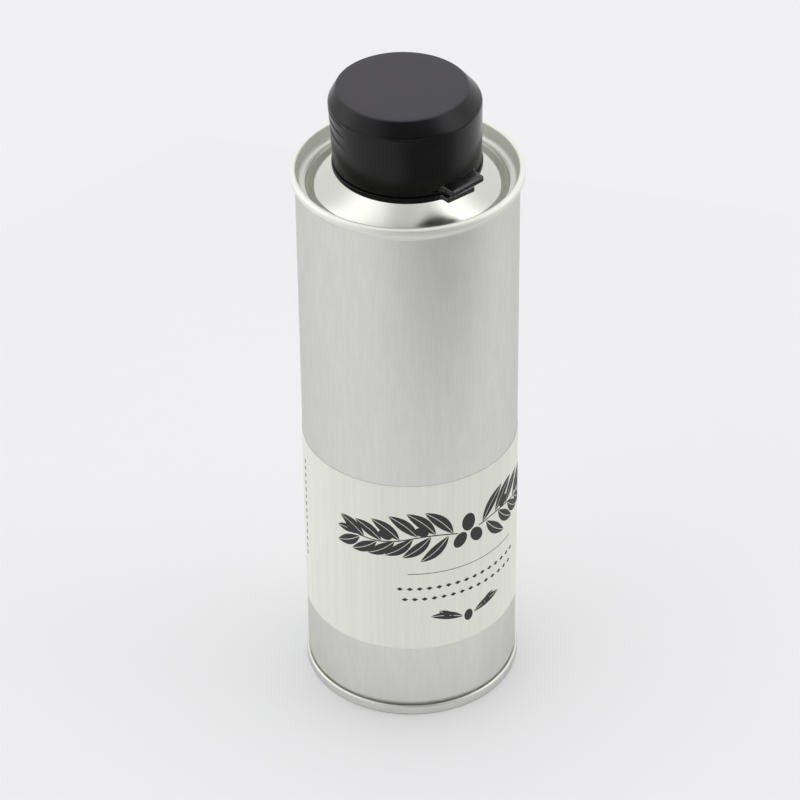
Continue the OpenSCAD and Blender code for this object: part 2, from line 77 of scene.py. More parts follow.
# Top end
FLOOR_Z = TIN_H - 3.9 - SHEET / 2
CONE_R = 22.6
STEP_W = 1.0
FOOT_ROUND = 1.4  # radius at the foot of the chuck wall
CONE_Z = FLOOR_Z + 1.3
CONE_SLOPE = math.tan(math.radians(33.4))
CONE_DROP = 0.171  # how far the cone's outer edge rounds off below its straight line
NECK_C = 12.72 - SHEET / 2
CURL_R = 0.85
NECK_TOP = CONE_Z + (CONE_R - NECK_C) * CONE_SLOPE + 2.73
CURL_Z = NECK_TOP - CURL_R - SHEET / 2
NECK_IN_R = NECK_C - SHEET / 2

# Closure
FLANGE_R = 17.45
FLANGE_Z = CONE_Z + (CONE_R - FLANGE_R) * CONE_SLOPE + SHEET / 2 * math.hypot(1, CONE_SLOPE) + 0.15
PART_Z = FLANGE_Z + 1.25
SLEEVE_IN = NECK_C + 2 * CURL_R + SHEET / 2 + 0.13
SLEEVE_R = SLEEVE_IN + 1.2
RIM_Z = NECK_TOP + 0.05
DECK_LOW = RIM_Z + 0.65
DECK_Z = DECK_LOW + 1.1
HOLE_R = 9.1
SPOUT_Z = RIM_Z + 9.0
THROAT_Z = SPOUT_Z - 1.8
WEB_Z = RIM_Z - 0.2

# Lid
LID_Z = PART_Z + 0.2
LID_TOP = LID_Z + 18.4
WALL_Z = LID_TOP - 3.1
CEILING_Z = LID_TOP - 1.2
FOOT_R = 17.15
SHOULDER_R = 17.65
TOP_R = 15.2
LEAN = 0.6
TOP_SHIFT = 1.5
LID_T = 1.1
HINGE_Y = FLANGE_R + 0.3
HINGE_Z = PART_Z + 0.1
TAB_Z = LID_Z + 0.95
TAB_REACH = 19.9
TAB_HALF = 5.0

# Label
LABEL_Z = 21.0
LABEL_H = 49.6
LABEL_GAP = 16.4
LABEL_T = 0.12
LABEL_AZ = 258.0
LABEL_IN = BODY_R + 0.02
LABEL_FACE = LABEL_IN + LABEL_T
PRINT_AZ = -102.0  # middle of the print
INK_T = 0.015


def arc(cx, cy, r, a0, a1, n=CORNER):
    """Points of an arc of radius r about (cx, cy), from a0 to a1 degrees."""
    a = np.radians(np.linspace(a0, a1, n + 1))
    return np.column_stack([cx + r * np.cos(a), cy + r * np.sin(a)])


def rounded(corners, closed=False):
    """Line through (x, y, radius) corners, each replaced by the arc that touches both its sides."""
    pts = np.array([c[:2] for c in corners], float)
    out = []
    for i, (_, _, r) in enumerate(corners):
        inner = closed or 0 < i < len(corners) - 1
        if r == 0 or not inner:
            out.append(pts[i][None])
            continue
        a, b, c = pts[i - 1], pts[i], pts[(i + 1) % len(pts)]
        u, v = (a - b) / np.linalg.norm(a - b), (c - b) / np.linalg.norm(c - b)
        half = math.acos(np.clip(u @ v, -1, 1)) / 2
        mid = (u + v) / np.linalg.norm(u + v)
        m = b + mid * r / math.sin(half)
        p, q = b + u * r / math.tan(half), b + v * r / math.tan(half)
        a0, a1 = (math.degrees(math.atan2(*(s - m)[::-1])) for s in (p, q))
        turn = (a1 - a0 + 180) % 360 - 180
        out.append(arc(*m, r, a0, a0 + turn))
    return np.vstack(out)


def thick(line, t):
    """Closed outline of a sheet of thickness t along an open line, by its mitred normals."""
    line = line[np.r_[True, np.linalg.norm(np.diff(line, axis=0), axis=1) > 1e-6]]
    step = np.diff(line, axis=0)
    step /= np.linalg.norm(step, axis=1)[:, None]
    before, after = np.vstack([step[:1], step]), np.vstack([step, step[-1:]])
    mid = before + after
    mid /= np.linalg.norm(mid, axis=1)[:, None]
    normal = np.column_stack([-mid[:, 1], mid[:, 0]]) / np.sum(mid * after, axis=1)[:, None]
    return np.vstack([line + normal * t / 2, (line - normal * t / 2)[::-1]])


def mesh_object(name, verts, faces, body, slot, material, sharp=35):
    """Object with its place in its mesh, doubles merged, smooth but for edges over sharp degrees."""
    mesh = bpy.data.meshes.new(name)
    mesh.from_pydata((np.asarray(verts) * MM).tolist(), [], faces)
    obj = bpy.data.objects.new(name, mesh)
    bpy.context.scene.collection.objects.link(obj)
    bm = bmesh.new()
    bm.from_mesh(mesh)
    bmesh.ops.remove_doubles(bm, verts=bm.verts, dist=1e-7)
    bmesh.ops.dissolve_degenerate(bm, edges=bm.edges, dist=1e-8)
    bmesh.ops.recalc_face_normals(bm, faces=bm.faces)
    bm.to_mesh(mesh)
    bm.free()
    mesh.polygons.foreach_set("use_smooth", np.ones(len(mesh.polygons), bool))
    mesh.set_sharp_from_angle(angle=math.radians(sharp))
    mesh.materials.append(material)
    if body is not None:
        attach(obj, body)
    return obj


def grid_faces(rows, cols, wrap_rows, wrap_cols):
    """Quads of a grid of points stored row by row."""
    i = np.arange(rows if wrap_rows else rows - 1)[:, None]
    j = np.arange(cols if wrap_cols else cols - 1)[None, :]
    i2, j2 = (i + 1) % rows, (j + 1) % cols
    quads = np.stack([i * cols + j, i * cols + j2, i2 * cols + j2, i2 * cols + j], axis=-1)
    return quads.reshape(-1, 4).tolist()


def turned(outline, azimuths, shift=None):
    """Points of an outline (radius, height) turned about Z: one row per azimuth in degrees."""
    a = np.radians(azimuths)[:, None]
    r, z = outline[:, 0][None], outline[:, 1][None]
    y = 0 if shift is None else shift(z)
    return np.stack(np.broadcast_arrays(r * np.cos(a), r * np.sin(a) + y, z), axis=-1)


def revolve(name, outline, body, slot, material, columns=AROUND, **how):
    """Closed outline (radius, height) revolved about Z into a closed surface."""
    pts = turned(outline, np.arange(columns) * 360 / columns)
    faces = grid_faces(columns, len(outline), True, True)
    return mesh_object(name, pts.reshape(-1, 3), faces, body, slot, material, **how)


def cover_hook(r, z0, up, h, out_r):
    """Cover hook, outer wall and crown of a double seam on the body wall of radius r. The seam is
    h high and out_r rounds its crown on the outside."""
    return [
        (r + PITCH, z0 + up * (BEND_S + HOOK_GAP), 0),
        (r + PITCH, z0 + up * (h - SHEET / 2), PITCH),
        (r + 3 * PITCH, z0 + up * (h - SHEET / 2), PITCH),
        (r + 3 * PITCH, z0 + up * SHEET / 2, out_r),
        (r - PITCH, z0 + up * SHEET / 2, min(CROWN_R, 4 * PITCH - out_r)),
    ]


def body_hook(r, z0, up, h):
    """Body hook of a double seam, from the body wall round to the hook's end."""
    return [
        (r, z0 + up * (BEND_S - PITCH), PITCH),
        (r + 2 * PITCH, z0 + up * (BEND_S - PITCH), PITCH),
        (r + 2 * PITCH, z0 + up * (h - SHEET / 2 - PITCH - HOOK_GAP), 0),
    ]


def linear(hex_colour):
    """sRGB hex colour as linear RGBA."""
    c = np.array([int(hex_colour[i:i + 2], 16) for i in (1, 3, 5)]) / 255
    lin = np.where(c <= 0.04045, c / 12.92, ((c + 0.055) / 1.055) ** 2.4)
    return (*lin.tolist(), 1.0)


def add(tree, kind, inputs=None, **settings):
    """Adds a node with its settings; an input is a value or another node's output to link."""
    node = tree.nodes.new(kind)
    for key, value in settings.items():
        setattr(node, key, value)
    for key, value in (inputs or {}).items():
        if isinstance(value, bpy.types.NodeSocket):
            tree.links.new(value, node.inputs[key])
        else:
            node.inputs[key].default_value = value
    return node


def new_material(name):
    """Empty material, its node tree, its shader and the object coordinates in metres."""
    mat = bpy.data.materials.new(name)
    mat.use_nodes = True
    tree = mat.node_tree
    tree.nodes.clear()
    shader = add(tree, "ShaderNodeBsdfPrincipled")
    add(tree, "ShaderNodeOutputMaterial", {"Surface": shader.outputs["BSDF"]})
    coords = add(tree, "ShaderNodeTexCoord").outputs["Object"]
    return mat, tree, shader, coords


def set_inputs(tree, shader, **inputs):
    """Sets shader inputs by name, underscores for spaces; outputs of other nodes are linked."""
    for key, value in inputs.items():
        socket = shader.inputs[key.replace("_", " ")]
        if isinstance(value, bpy.types.NodeSocket):
            tree.links.new(value, socket)
        else:
            socket.default_value = value


def noise(tree, coords, size_mm, stretch=(1, 1, 1), detail=3.0, rough=0.5):
    """Noise whose blobs are about size_mm across, stretched by a factor along each axis."""
    scale = [1 / (size_mm * MM * s) for s in stretch]
    at = add(tree, "ShaderNodeMapping", {"Vector": coords, "Scale": scale}).outputs["Vector"]
    tex = add(tree, "ShaderNodeTexNoise", {"Vector": at, "Scale": 1.0, "Detail": detail, "Roughness": rough})
    return tex.outputs["Fac"]


def spread(tree, value, low, high, from_low=0.3, from_high=0.7):
    """Maps the middle of a noise to the range low to high."""
    inputs = {"Value": value, "From Min": from_low, "From Max": from_high, "To Min": low, "To Max": high}
    return add(tree, "ShaderNodeMapRange", inputs).outputs["Result"]


def tinted(tree, value, dark, light):
    """Colour between two hex colours, by a value from 0 to 1."""
    inputs = {"Factor": value, "A": linear(dark), "B": linear(light)}
    mix = add(tree, "ShaderNodeMix", None, data_type="RGBA")
    tree.links.new(value, mix.inputs["Factor"])
    mix.inputs["A"].default_value = inputs["A"]
    mix.inputs["B"].default_value = inputs["B"]
    return mix.outputs["Result"]


def bump(tree, height, depth_mm, normal=None, strength=1.0):
    """Bump whose full height is depth_mm."""
    inputs = {"Height": height, "Strength": strength, "Distance": depth_mm * MM}
    if normal is not None:
        inputs["Normal"] = normal
    return add(tree, "ShaderNodeBump", inputs).outputs["Normal"]


def rolled_tinplate():
    """Electrolytic tinplate, cold rolled with a stone finish: a soft, slightly warm sheen with faint
    rolling lines along the height and a mottle where the tin layer was melted and quenched."""
    mat, tree, shader, coords = new_material("rolled_tinplate")
    lines = noise(tree, coords, 0.35, stretch=(1, 1, 60), detail=4)
    mottle = noise(tree, coords, 3.0, stretch=(1, 1, 2.2), detail=5, rough=0.6)
    scuffs = noise(tree, coords, 1.1, stretch=(1, 1, 9), detail=6, rough=0.65)
    shade = add(tree, "ShaderNodeMath", {0: mottle, 1: scuffs}, operation="MULTIPLY").outputs[0]
    set_inputs(
        tree, shader, Metallic=1.0,
        Base_Color=tinted(tree, spread(tree, shade, 0, 1, 0.15, 0.4), "#dadbd5", "#e1e2dc"), Specular_Tint=(0.78, 0.78, 0.77, 1.0),
        Roughness=spread(tree, mottle, 0.38, 0.46),
        Normal=bump(tree, lines, 0.0012, bump(tree, mottle, 0.006)))
    return mat


def bright_tinplate():
    """Tinplate drawn over a polished punch: the cone is smooth enough to mirror the lamps, while the
    channel and the seam round it, which the punch leaves free, keep the satin of the sheet."""
    mat, tree, shader, coords = new_material("bright_tinplate")
    mottle = noise(tree, coords, 2.0, detail=4)
    xyz = add(tree, "ShaderNodeSeparateXYZ", {"Vector": coords}).outputs
    flat = add(tree, "ShaderNodeCombineXYZ", {"X": xyz["X"], "Y": xyz["Y"]}).outputs["Vector"]
    radius = add(tree, "ShaderNodeVectorMath", {0: flat}, operation="LENGTH").outputs["Value"]
    ledge = spread(tree, radius, 0, 0.22, (CONE_R - 0.1) * MM, (CONE_R + 0.3) * MM)
    # painted sheen: the seam round the rim, from just inside its crown outwards, is painted a lighter tin colour
    # (#ecede6 against #c9cac3) to stand in for the light it catches; the same ramp also makes it rougher
    painted_seam_sheen = spread(tree, radius, 0, 1, (HIGH_R - 1.3) * MM, (HIGH_R - 0.6) * MM)
    rubbed = spread(tree, painted_seam_sheen, 0, 0.28, 0, 1)
    satin = add(tree, "ShaderNodeMath", {0: ledge, 1: rubbed}, operation="ADD").outputs[0]
    polish = spread(tree, mottle, 0.07, 0.11)
    set_inputs(
        tree, shader, Metallic=1.0, Base_Color=tinted(tree, painted_seam_sheen, "#c9cac3", "#ecede6"),
        Roughness=add(tree, "ShaderNodeMath", {0: polish, 1: satin}, operation="ADD").outputs[0],
        Normal=bump(tree, mottle, 0.0015))
    return mat


def heat_tinted_weld():
    """Resistance weld: steel squeezed at red heat, straw to blue at its edges, dull in the middle."""
    mat, tree, shader, coords = new_material("heat_tinted_weld")
    mottle = noise(tree, coords, 0.8, stretch=(1, 1, 2), detail=3)
    set_inputs(
        tree, shader, Metallic=1.0,
        Base_Color=tinted(tree, spread(tree, mottle, 0, 1), "#7d7c78", "#a39d8f"),
        Roughness=spread(tree, mottle, 0.35, 0.5))
    return mat


def black_polypropylene():
    """Injection moulded polypropylene, mass-coloured black, from a finely etched mould: a soft sheen."""
    mat, tree, shader, coords = new_material("black_polypropylene")
    etch = noise(tree, coords, 0.16, detail=2)
    cloud = noise(tree, coords, 4.0, detail=3)
    high = add(tree, "ShaderNodeSeparateXYZ", {"Vector": coords}).outputs["Z"]
    # painted sheen: the lid's flat top, its highest 0.25 mm, is painted a lighter lilac grey to stand in for the
    # overhead light it catches
    painted_top_sheen = spread(tree, high, 0, 1, (LID_TOP - 0.25) * MM, (LID_TOP - 0.05) * MM)
    black = tinted(tree, spread(tree, cloud, 0, 1), "#040405", "#070708")
    mix = add(tree, "ShaderNodeMix", None, data_type="RGBA")
    tree.links.new(painted_top_sheen, mix.inputs["Factor"])
    tree.links.new(black, mix.inputs["A"])
    # colour of the painted sheen on the flat top
    mix.inputs["B"].default_value = linear("#2b2832")
    set_inputs(
        tree, shader, Metallic=0.0, IOR=1.49, Specular_IOR_Level=0.28,
        Base_Color=mix.outputs["Result"],
        Roughness=spread(tree, cloud, 0.2, 0.25),
        Normal=bump(tree, etch, 0.006, bump(tree, cloud, 0.02)))
    return mat


def polished_polypropylene(name, shine):
    """The same plastic where the mould is polished, on the thumb tab and the finger ledge."""
    mat, tree, shader, coords = new_material(name)
    cloud = noise(tree, coords, 2.0, detail=3)
    set_inputs(
        tree, shader, Metallic=0.0, IOR=1.49, Specular_IOR_Level=shine,
        Base_Color=tinted(tree, spread(tree, cloud, 0, 1), "#060607", "#080809"),
        Roughness=spread(tree, cloud, 0.12, 0.18))
    return mat


def natural_polyethylene():
    """Uncoloured polyethylene: milky, a little see-through at thin edges, waxy to the touch."""
    mat, tree, shader, coords = new_material("natural_polyethylene")
    cloud = noise(tree, coords, 3.0, detail=2)
    set_inputs(
        tree, shader, Metallic=0.0, IOR=1.51,
        Base_Color=tinted(tree, spread(tree, cloud, 0, 1), "#dfe1da", "#e9ebe4"),
        Roughness=spread(tree, cloud, 0.3, 0.38),
        Subsurface_Weight=0.25, Subsurface_Radius=(0.004, 0.004, 0.0035), Subsurface_Scale=0.4)
    return mat


def label_paper():
    """Uncoated wood-free paper: matt off-white with a fine felt of fibres and faint dryer streaks."""
    mat, tree, shader, coords = new_material("label_paper")
    fibres = noise(tree, coords, 0.25, stretch=(1, 1, 3), detail=5, rough=0.7)
    streaks = noise(tree, coords, 1.2, stretch=(1, 1, 40), detail=2)
    set_inputs(
        tree, shader, Metallic=0.0, IOR=1.5,
        Base_Color=tinted(tree, spread(tree, streaks, 0, 1), "#e1e2d8", "#e7e8df"),
        Roughness=spread(tree, fibres, 0.75, 0.9),
        Normal=bump(tree, fibres, 0.012, bump(tree, streaks, 0.01)))
    return mat


def printing_ink():
    """Offset ink on uncoated paper: nearly black, soaked in, so almost as matt as the paper."""
    mat, tree, shader, coords = new_material("printing_ink")
    soak = noise(tree, coords, 0.3, detail=4, rough=0.7)
    set_inputs(
        tree, shader, Metallic=0.0, IOR=1.5,
        Base_Color=tinted(tree, spread(tree, soak, 0, 1), "#262526", "#333132"),
        Roughness=spread(tree, soak, 0.6, 0.75))
    return mat


def dried_compound():
    """Water-based sealing compound, dried to a grey rubber."""
    mat, tree, shader, coords = new_material("dried_compound")
    grains = noise(tree, coords, 0.2, detail=3)
    set_inputs(
        tree, shader, Metallic=0.0, IOR=1.52,
        Base_Color=tinted(tree, spread(tree, grains, 0, 1), "#84857a", "#979888"),
        Roughness=spread(tree, grains, 0.6, 0.8))
    return mat


TINPLATE = rolled_tinplate()
BRIGHT = bright_tinplate()
WELD = heat_tinted_weld()
BLACK = black_polypropylene()
GLOSS = polished_polypropylene("polished_polypropylene", 0.7)
SHARP_GLOSS = polished_polypropylene("bright_polypropylene", 1.0)
NATURAL = natural_polyethylene()
PAPER = label_paper()
INK = printing_ink()
COMPOUND = dried_compound()


def make_body():
    """Welded tube with a shoulder and a hook at each end, and its weld as a rippled bead."""
    low = SEAM_H + LEAD_H
    high = TIN_H - TOP_SEAM_H - LEAD_H
    wall = BODY_R - SHEET / 2
    line = rounded([
        *body_hook(LOW_R, 0, 1, SEAM_H)[::-1], (LOW_R, low, FORM_R), (wall, low + FORM_H, FORM_R),
        (wall, high - FORM_H, FORM_R), (HIGH_R, high, FORM_R), *body_hook(HIGH_R, TIN_H, -1, TOP_SEAM_H)])
    body = revolve("tin_body", thick(line, SHEET), "tin", "tinplate", TINPLATE)
    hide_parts("can_body")

    z = np.linspace(low + FORM_H + WELD_W, high - FORM_H - WELD_W, 700)
    across = np.linspace(-1, 1, 13)
    nugget = 0.8
    ripple = 0.8 + 0.2 * np.cos(TAU * z / nugget)[:, None]
    rise = WELD_T * (1 - across[None] ** 4) * ripple
    r = np.where(np.abs(across[None]) == 1, BODY_R - SHEET / 2, BODY_R + rise)
    a = np.radians(WELD_AZ) + across[None] * WELD_W / 2 / BODY_R
    outer = np.stack(np.broadcast_arrays(r * np.cos(a), r * np.sin(a), z[:, None]), axis=-1)
    inner_r = BODY_R - SHEET / 2
    inner = np.stack(np.broadcast_arrays(inner_r * np.cos(a), inner_r * np.sin(a), z[:, None]), axis=-1)
    ring = np.concatenate([outer, inner[:, ::-1]], axis=1)
    cols = ring.shape[1]
    faces = grid_faces(len(z), cols, False, True)
    faces += [list(range(cols)), [(len(z) - 1) * cols + k for k in range(cols)][::-1]]
    mesh_object("side_weld", ring.reshape(-1, 3), faces, "tin", "tinplate", WELD)


def make_bottom_end():
    """Pressed bottom end: cover hook, standing rim, countersunk panel and two expansion beads."""
    z = 3.9 + SHEET / 2
    beads = []
    for r in (20.4, 14.8):
        beads += [(r + 1.6, z, 0.5), (r + 0.9, z - 0.7, 0.5), (r - 0.9, z - 0.7, 0.5), (r - 1.6, z, 0.5)]
    line = rounded([*cover_hook(LOW_R, 0, 1, SEAM_H, CROWN_R), (LOW_R - PITCH - 0.15, z, 0.6), *beads, (0, z, 0)])
    end = revolve("bottom_panel", thick(line, SHEET), "tin", "tinplate", TINPLATE)
    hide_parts("bottom_end")


def make_top_end():
    """Pressed top end: cover hook, chuck wall, channel, bright cone, neck and rolled curl."""
    wall = HIGH_R - PITCH - 0.5
    neck_z = CONE_Z + (CONE_R - NECK_C) * CONE_SLOPE
    dome = [(CONE_R - u, CONE_Z + u * CONE_SLOPE - CONE_DROP * math.exp(-u / 1.2), 0)
            for u in np.arange(0.3, 6, 0.3)]
    shell = rounded([
        *cover_hook(HIGH_R, TIN_H, -1, TOP_SEAM_H, SEAM_ROUND), (wall, FLOOR_Z, FOOT_ROUND),
        (CONE_R + STEP_W, FLOOR_Z, 0.35), (CONE_R, CONE_Z - CONE_DROP, 1.5), *dome,
        (NECK_C, neck_z, 1.2), (NECK_C, CURL_Z, 0)])
    curl = arc(NECK_C + CURL_R, CURL_Z, CURL_R, 180, -110, 32)
    end = revolve("cone_top", thick(np.vstack([shell, curl[1:]]), SHEET), "tin", "tinplate", BRIGHT)
    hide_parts("top_end")


def make_label():
    """Paper wrapped round the body, short of the weld."""
    half = 180 - math.degrees(LABEL_GAP / BODY_R) / 2
    az = LABEL_AZ + np.linspace(-half, half, AROUND)
    top = LABEL_Z + LABEL_H
    outline = rounded([
        (LABEL_IN, LABEL_Z, 0), (LABEL_IN + LABEL_T, LABEL_Z, 0.03), (LABEL_IN + LABEL_T, top, 0.03),
        (LABEL_IN, top, 0)], closed=True)
    pts = turned(outline, az)
    cols = len(outline)
    faces = grid_faces(len(az), cols, False, True)
    faces += [list(range(cols)), [(len(az) - 1) * cols + k for k in range(cols)][::-1]]
    label = mesh_object("paper_label", pts.reshape(-1, 3), faces, "tin", "label_paper", PAPER)
    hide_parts("label")


def printed(path, low, high, across=7):
    """Skin of ink on the label: a band between two offsets from a path of (along, height) points."""
    path = np.asarray(path, float)
    step = np.gradient(path, axis=0)
    step /= np.linalg.norm(step, axis=1)[:, None]
    side = np.column_stack([-step[:, 1], step[:, 0]])[:, None]
    v = np.linspace(0, 1, across)[None, :, None]
    low, high = (np.broadcast_to(w, len(path))[:, None, None] for w in (low, high))
    flat = path[:, None] + side * (low + (high - low) * v)
    a = math.radians(PRINT_AZ) + flat[..., 0] / LABEL_FACE
    skins = [np.stack([r * np.cos(a), r * np.sin(a), flat[..., 1]], axis=-1)
             for r in (LABEL_FACE + INK_T, LABEL_FACE - INK_T)]
    ring = np.concatenate([skins[0], skins[1][:, ::-1]], axis=1)
    rows, cols = ring.shape[:2]
    faces = grid_faces(rows, cols, False, True)
    return ring.reshape(-1, 3), faces + [list(range(cols)), [(rows - 1) * cols + k for k in range(cols)][::-1]]


def leaf(x, z, angle, length, width, vein=0.16, bend=0.06):
    """Two halves of a narrow leaf, parted by a bare vein, from its foot at (x, z)."""
    u = np.linspace(0, 1, 13)
    a = math.radians(angle)
    drop = bend * length * np.sin(math.pi * u) * math.copysign(1, math.cos(a) * math.sin(a))
    run = np.column_stack([u * length, drop]) @ np.array([[math.cos(a), math.sin(a)], [-math.sin(a), math.cos(a)]])
    half = np.maximum(width / 2 * np.sin(math.pi * u) ** 0.8, vein / 2 + 0.02)
    path = run + [x, z]
    return [printed(path, vein / 2, half), printed(path, -half, -vein / 2)]


def olive(x, z, angle, length, width):
    """Oval about (x, z)."""
    u = np.cos(np.linspace(math.pi, 0.0, 15))
    a = math.radians(angle)
    half = np.maximum(width / 2 * np.sqrt(1 - u ** 2), 0.03)
    return [printed(np.outer(u, [math.cos(a), math.sin(a)]) * length / 2 + [x, z], -half, half, across=9)]


def lozenge(x, z, length, width):
    """Lozenge about (x, z), its long axis along the label."""
    half = np.array([0.03, width / 2, 0.03])
    return [printed([(x - length / 2, z), (x, z), (x + length / 2, z)], -half, half)]


def make_print():
    """Ornament in the label's middle: a garland of olive leaves, a rule, two rows of lozenges and a
    small sprig, with a column of lozenges beside the weld."""
    skins = []
    for side in (-1, 1):
        def turn(angle):
            return angle if side > 0 else 180 - angle
        run = np.linspace(3.0, 28.5, 40)
        stem = np.column_stack([side * run, 54.6 + 0.9 * np.sin((run - 3.0) / 4.2)])
        skins.append(printed(stem, -0.16, 0.16, across=3))
        for k in range(6):
            x = 4.2 + 4.4 * k
            z = 54.6 + 0.9 * math.sin((x - 3.0) / 4.2)
            skins += leaf(side * x, z + 0.25, turn(47 - 3 * k), 10.2 - 0.5 * k, 3.1)
            skins += leaf(side * (x + 1.2), z - 0.25, turn(-44 + 3 * k), 9.6 - 0.5 * k, 3.0)
            if k % 2:
                skins += olive(side * (x + 3.4), z + 1.4, turn(30), 3.6, 2.5)
        skins += leaf(side * 28.4, 54.4, turn(4), 5.2, 2.2)
        skins += leaf(side * 1.6, 28.6, turn(14), 8.6, 2.3)
        skins += leaf(side * 4.0, 28.9, turn(38), 5.0, 1.7)
    skins += olive(0, 57.0, 90, 5.2, 3.7) + olive(-2.3, 52.4, 60, 4.6, 3.3) + olive(2.3, 52.4, 120, 4.6, 3.3)
    skins += olive(0, 28.4, 90, 3.4, 2.4)
    skins.append(printed(np.column_stack([np.linspace(-15.5, 15.5, 32), np.full(32, 44.2)]), -0.09, 0.09, across=3))
    for row, z in enumerate((39.6, 36.4)):
        for x in np.arange(-17.4 + 1.2 * row, 17.5 - 1.2 * row, 2.4):
            skins += lozenge(x, z, 1.5, 1.1)
    for z in np.arange(36.0, 64.1, 2.15):
        skins += lozenge(-49.0, z, 1.1, 1.3)
    verts, faces, base = [], [], 0
    for points, quads in skins:
        verts.append(points)
        faces += [[base + k for k in quad] for quad in quads]
        base += len(points)
    mesh_object("label_print", np.vstack(verts), faces, "tin", "label_paper", INK)


def lid_shift(z):
    """How far the middle of the lid's outline is set back towards the hinge, at the height z."""
    return np.interp(z, [LID_Z, WALL_Z, LID_TOP], [0, LEAN, TOP_SHIFT])


GROOVES = 3
GROOVE_T = 0.95
GROOVE_FADE = 0.1
GROOVE_HALF = 0.78
GROOVE_LOW = [160.35, 157.3, 154.3]  # height of each groove where it fades out
GROOVE_SLOPE = [0.0, 0.118, 0.16]  # how it climbs towards the back, per mm


def groove_lift(i, beta):
    """How much higher groove i lies at the angle beta from the back than where it fades out."""
    run = np.minimum(17.4 * np.cos(beta), 11.0)
    return GROOVE_SLOPE[i] * np.maximum(run, 0)


def make_lid():
    """Lid as radius over azimuth and height: a leaning, flaring wall, a wide bevel and a flat top,
    less three V grooves that fade out from the back and a slot that runs on from the tab."""
    az = np.arange(360) * 1.0
    beta = np.radians(az - 90)
    fine = np.concatenate([
        np.linspace(LID_Z + 0.3, LID_Z + 0.5, 4), np.linspace(LID_Z + 0.52, LID_Z + 1.05, 14),
        np.linspace(LID_Z + 1.3, 152.6, 8), np.arange(152.8, WALL_Z - 0.45, 0.12)])
    wall_r = np.interp(fine, [LID_Z, WALL_Z], [FOOT_R, SHOULDER_R])
    foot = rounded([(FOOT_R - 1.1, LID_Z + 0.6, 0), (FOOT_R - 1.1, LID_Z, 0.12), (FOOT_R, LID_Z, 0.2),
                    (FOOT_R + 0.01, LID_Z + 0.3, 0)])[1:-1]
    crown = rounded([(wall_r[-1], fine[-1], 0), (SHOULDER_R, WALL_Z, 1.3), (TOP_R, LID_TOP, 0.7), (0, LID_TOP, 0)])
    top_rows = np.column_stack([np.linspace(crown[-2][0], 0, 8)[1:], np.full(7, LID_TOP)])
    wall = np.column_stack([wall_r, fine])
    outer = np.vstack([foot, wall, crown[1:-1], top_rows])
    inner = rounded([
        (0, CEILING_Z, 0), (13.6, CEILING_Z, 1.0), (SHOULDER_R - 1.35, WALL_Z, 0.6), (SHOULDER_R - 1.1, WALL_Z - 1, 0.6),
        (FOOT_R - 1.1, LID_Z + 0.6, 0)])
    outline = np.vstack([outer, inner])
    first, count = len(foot), len(wall)

    a = np.radians(az)[:, None]
    r = np.repeat(outline[:, 0][None], len(az), axis=0)
    z = np.repeat(outline[:, 1][None], len(az), axis=0)
    rows = slice(first, first + count)
    knots = [152.0, *GROOVE_LOW[::-1], WALL_Z - 0.3]
    lifts = [np.zeros_like(beta), *(groove_lift(i, beta) for i in (2, 1, 0)), np.zeros_like(beta)]
    base = fine[None]
    lift = np.zeros_like(z[:, rows])
    for k in range(len(knots) - 1):
        part = np.clip((base - knots[k]) / (knots[k + 1] - knots[k]), 0, 1)
        inside = (base >= knots[k]) & (base < knots[k + 1])
        lift += np.where(inside, lifts[k][:, None] * (1 - part) + lifts[k + 1][:, None] * part, 0)
    z[:, rows] += lift
    depth = GROOVE_T * np.sqrt(np.clip((np.cos(beta) - GROOVE_FADE) / (1 - GROOVE_FADE), 0, 1))[:, None]
    for low in GROOVE_LOW:
        off = np.abs(base - low) / (GROOVE_HALF * np.maximum(depth / GROOVE_T, 0.35))
        r[:, rows] -= depth * np.clip(1 - off, 0, 1) ** 0.6
    from_tab = np.abs((az + 90 + 180) % 360 - 180)[:, None]
    slot_z = np.clip((0.21 - np.abs(base - (LID_Z + 0.775))) / 0.05, 0, 1)
    r[:, rows] -= 0.35 * slot_z * np.clip((26 - from_tab) / 3, 0, 1)

    pts = np.stack([r * np.cos(a), r * np.sin(a) + lid_shift(z), z], axis=-1)
    faces = grid_faces(len(az), len(outline), True, True)
    lid = mesh_object("lid_shell", pts.reshape(-1, 3), faces, "lid", "black_polypropylene", BLACK, sharp=50)
    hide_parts("closure_lid")

    out, tip = 7.9, 6.3
    slope = 0.9
    z_out, z_tip = SPOUT_Z - slope * 0.3 + 0.16, SPOUT_Z - slope * (8.2 - tip) + 0.16
    ring = rounded([
        (out, CEILING_Z + 0.3, 0), (out, z_out, 0.15), (tip, z_tip, 0.2), (tip - 1.1, z_tip, 0.2),
        (out - 1.1, z_out + 0.55, 0.5), (out - 1.1, CEILING_Z + 0.3, 0)], closed=True)
    revolve("lid_plug", ring, "lid", "black_polypropylene", BLACK, columns=128)


def tongue(half, reach, blend, wall_r, nose_r=0.3, root=0.4):
    """Plan of a tongue that points to -Y from a wall, with blends of radius blend at its root."""
    foot = half + 0.8 * blend
    foot_y = math.sqrt(wall_r ** 2 - foot ** 2) - root
    side_y = foot_y + blend
    return rounded([
        (-foot, -foot_y, 0), (-half, -side_y, blend), (-half, -reach, nose_r),
        (half, -reach, nose_r), (half, -side_y, blend), (foot, -foot_y, 0)], closed=True)


